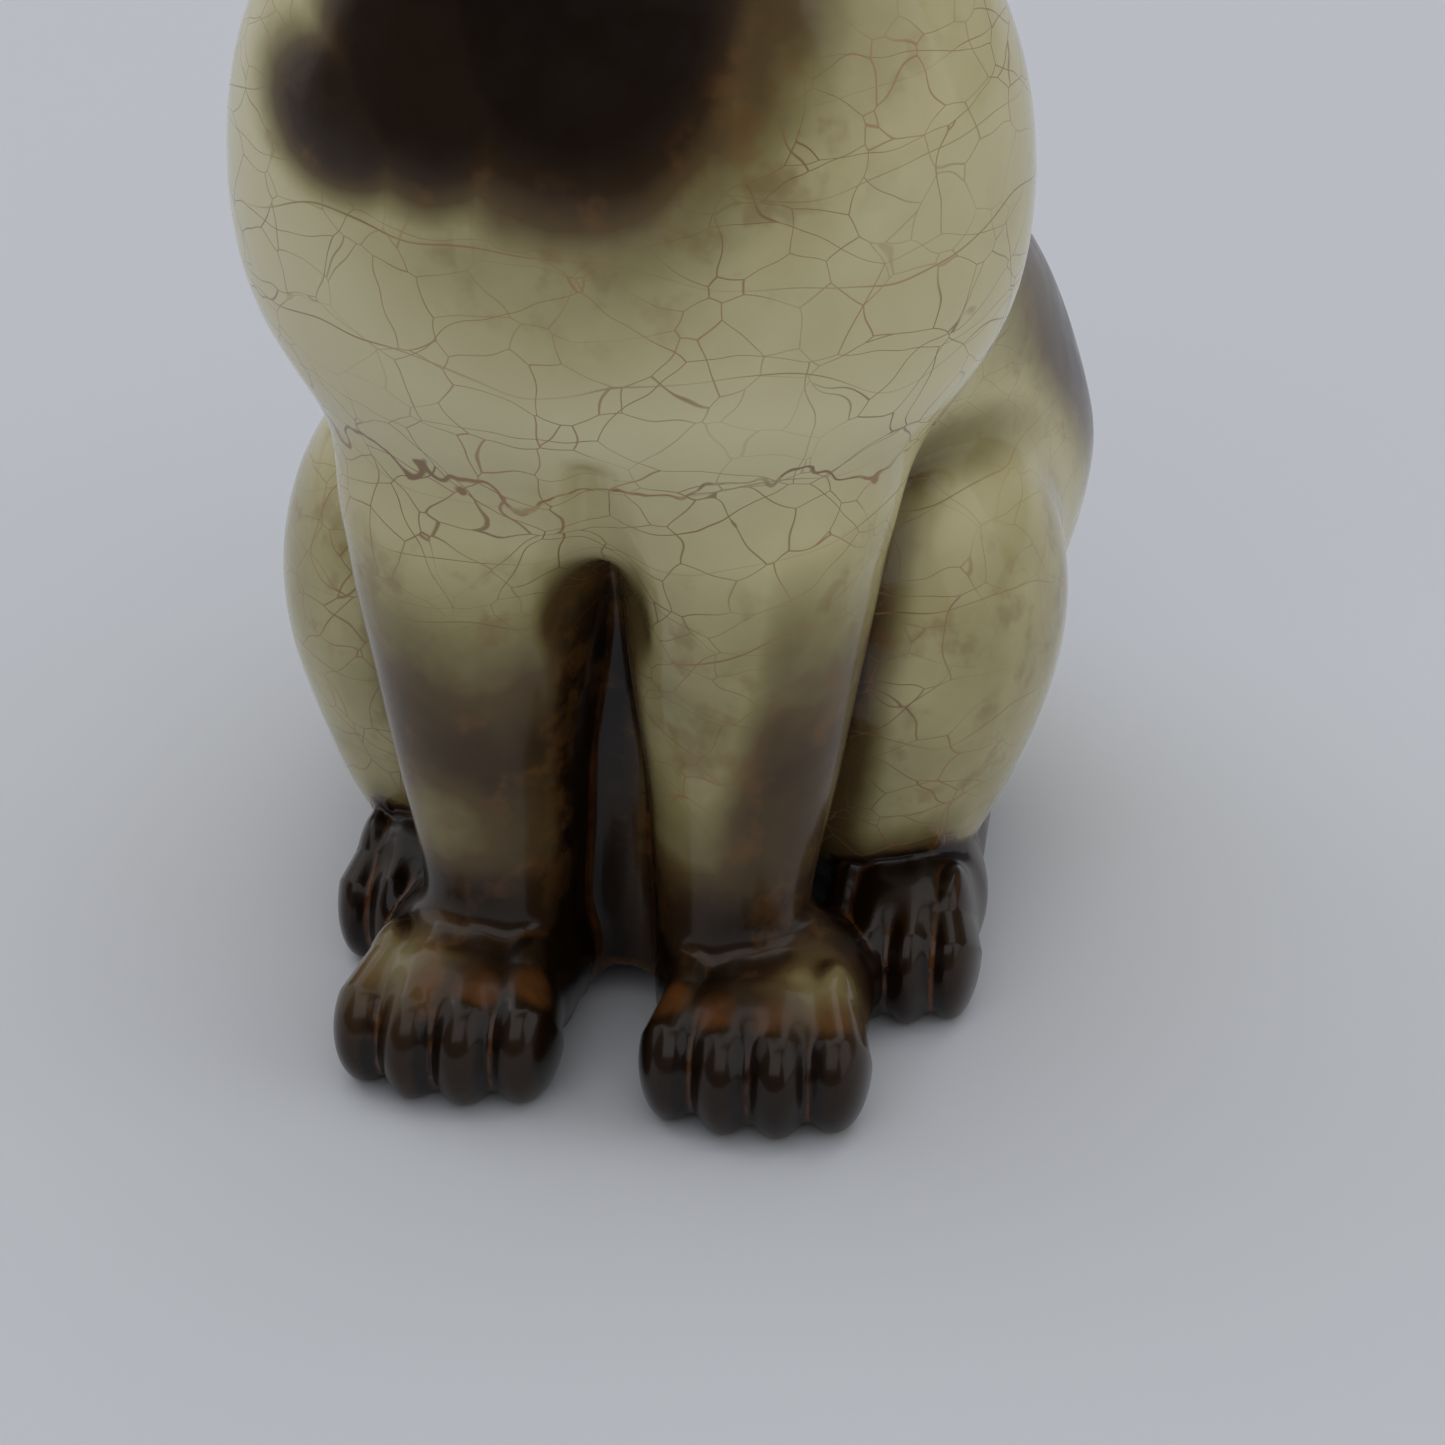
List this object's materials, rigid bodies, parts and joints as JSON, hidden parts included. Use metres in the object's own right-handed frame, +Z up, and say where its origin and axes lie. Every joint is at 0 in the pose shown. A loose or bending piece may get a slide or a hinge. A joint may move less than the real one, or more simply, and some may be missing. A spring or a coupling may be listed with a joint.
{
  "type": "seated cat figurine",
  "caption": "Seated cat figurine in glossy crackle-glazed earthenware, cream body with dark brown points, standing on its own paws.",
  "frame": {"origin": "centre of the bottom of the bounding box, on the surface the figurine stands on", "axes": "the cat faces -Y, its own left side is at +X, +Z is up"},
  "size_m": [0.07, 0.0912, 0.1815],
  "materials": {
    "cream_glaze": "gloss crackle",
    "brown_glaze": "gloss crackle"
  },
  "bodies": {
    "root": {"torso": "cream_glaze", "head": "brown_glaze", "ear_left": "brown_glaze", "ear_right": "brown_glaze", "foreleg_left": "cream_glaze", "foreleg_right": "cream_glaze", "haunch_left": "cream_glaze", "haunch_right": "cream_glaze", "hind_foot_left": "brown_glaze", "hind_foot_right": "brown_glaze", "tail": "brown_glaze"}
  },
  "joints": []
}
